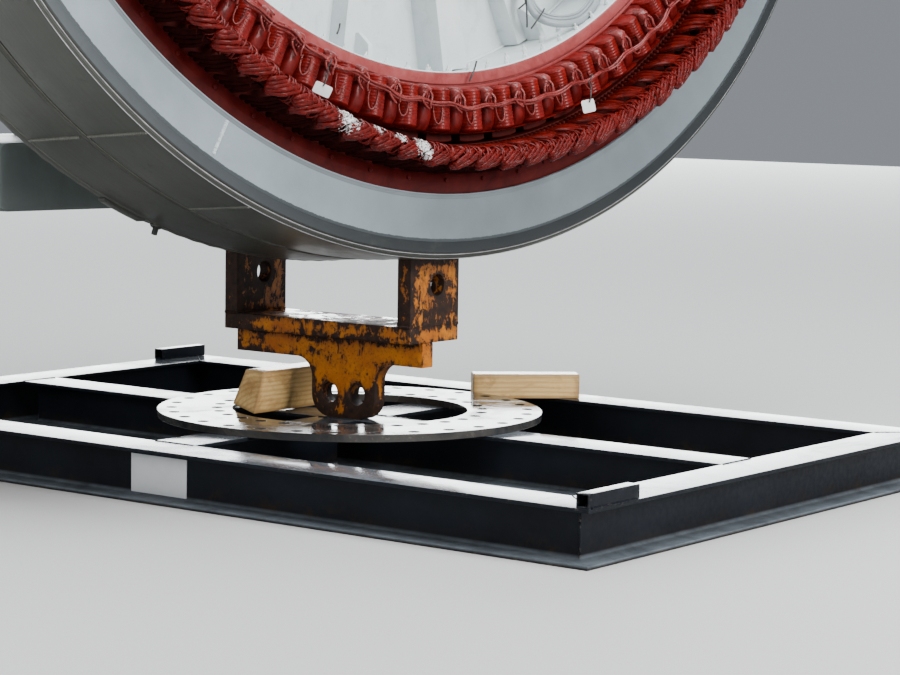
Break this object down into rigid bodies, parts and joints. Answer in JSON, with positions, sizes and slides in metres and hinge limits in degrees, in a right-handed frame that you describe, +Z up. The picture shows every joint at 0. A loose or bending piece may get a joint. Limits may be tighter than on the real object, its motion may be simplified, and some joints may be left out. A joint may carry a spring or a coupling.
{
  "type": "wind turbine nacelle ring generator on transport frame",
  "caption": "Direct-drive wind turbine ring generator with its rear machine carrier, seated on a pinned yoke that stands on a steel transport frame; the rotor turns.",
  "frame": {"origin": "centre of the transport frame's footprint, on the floor", "axes": "+X along the frame towards the generator's front, +Y across the frame, +Z up"},
  "size_m": [4.8, 5.963, 6.9318],
  "materials": {
    "black_steel": "gloss",
    "orange_steel": "worn",
    "timber": "sawn",
    "drum_steel": "satin",
    "cover_paint": "satin",
    "red_varnish": "gloss",
    "rim_paint": "satin",
    "white_paint": "satin",
    "carrier_paint": "satin",
    "notice_plate": "satin",
    "bare_steel": "satin"
  },
  "bodies": {
    "stand_and_stator": {"axle_pin": "bare_steel", "back_beam": "black_steel", "back_cross_beam": "black_steel", "back_timber_block": "timber", "carrier_base": "carrier_paint", "drain_nipple": "bare_steel", "drum_front_ring": "drum_steel", "drum_rear_flange": "drum_steel", "drum_rear_ring": "drum_steel", "far_corner_stop": "black_steel", "front_beam": "black_steel", "front_clamp_ring": "red_varnish", "front_cover_ring": "cover_paint", "front_cross_beam": "black_steel", "front_timber_block": "timber", "front_windings": "red_varnish", "front_yoke_lug": "orange_steel", "left_end_beam": "black_steel", "machine_carrier": "carrier_paint", "middle_beam": "black_steel", "near_corner_stop": "black_steel", "notice_plate": "notice_plate", "pivot_disc": "black_steel", "rear_windings": "red_varnish", "rear_yoke_lug": "orange_steel", "right_end_beam": "black_steel", "star_arm_1": "carrier_paint", "star_arm_2": "carrier_paint", "star_arm_3": "carrier_paint", "star_arm_4": "carrier_paint", "star_arm_5": "carrier_paint", "star_arm_6": "carrier_paint", "star_arm_7": "carrier_paint", "star_arm_8": "carrier_paint", "star_hub": "carrier_paint", "stator_core": "red_varnish", "yoke_stem_plate": "orange_steel", "yoke_top_plate": "orange_steel"},
    "rotor": {"conduit_loop": "bare_steel", "pole_ring": "red_varnish", "rotor_flange": "white_paint", "rotor_hub": "white_paint", "rotor_rim": "rim_paint", "rotor_spider": "white_paint"}
  },
  "joints": [
    {"name": "rotor_spin", "type": "hinge", "parent": "stand_and_stator", "child": "rotor", "pos_m": [0.05, 0, 3.96], "axis": [0.9866, -0.1474, 0.0698], "continuous": true}
  ]
}
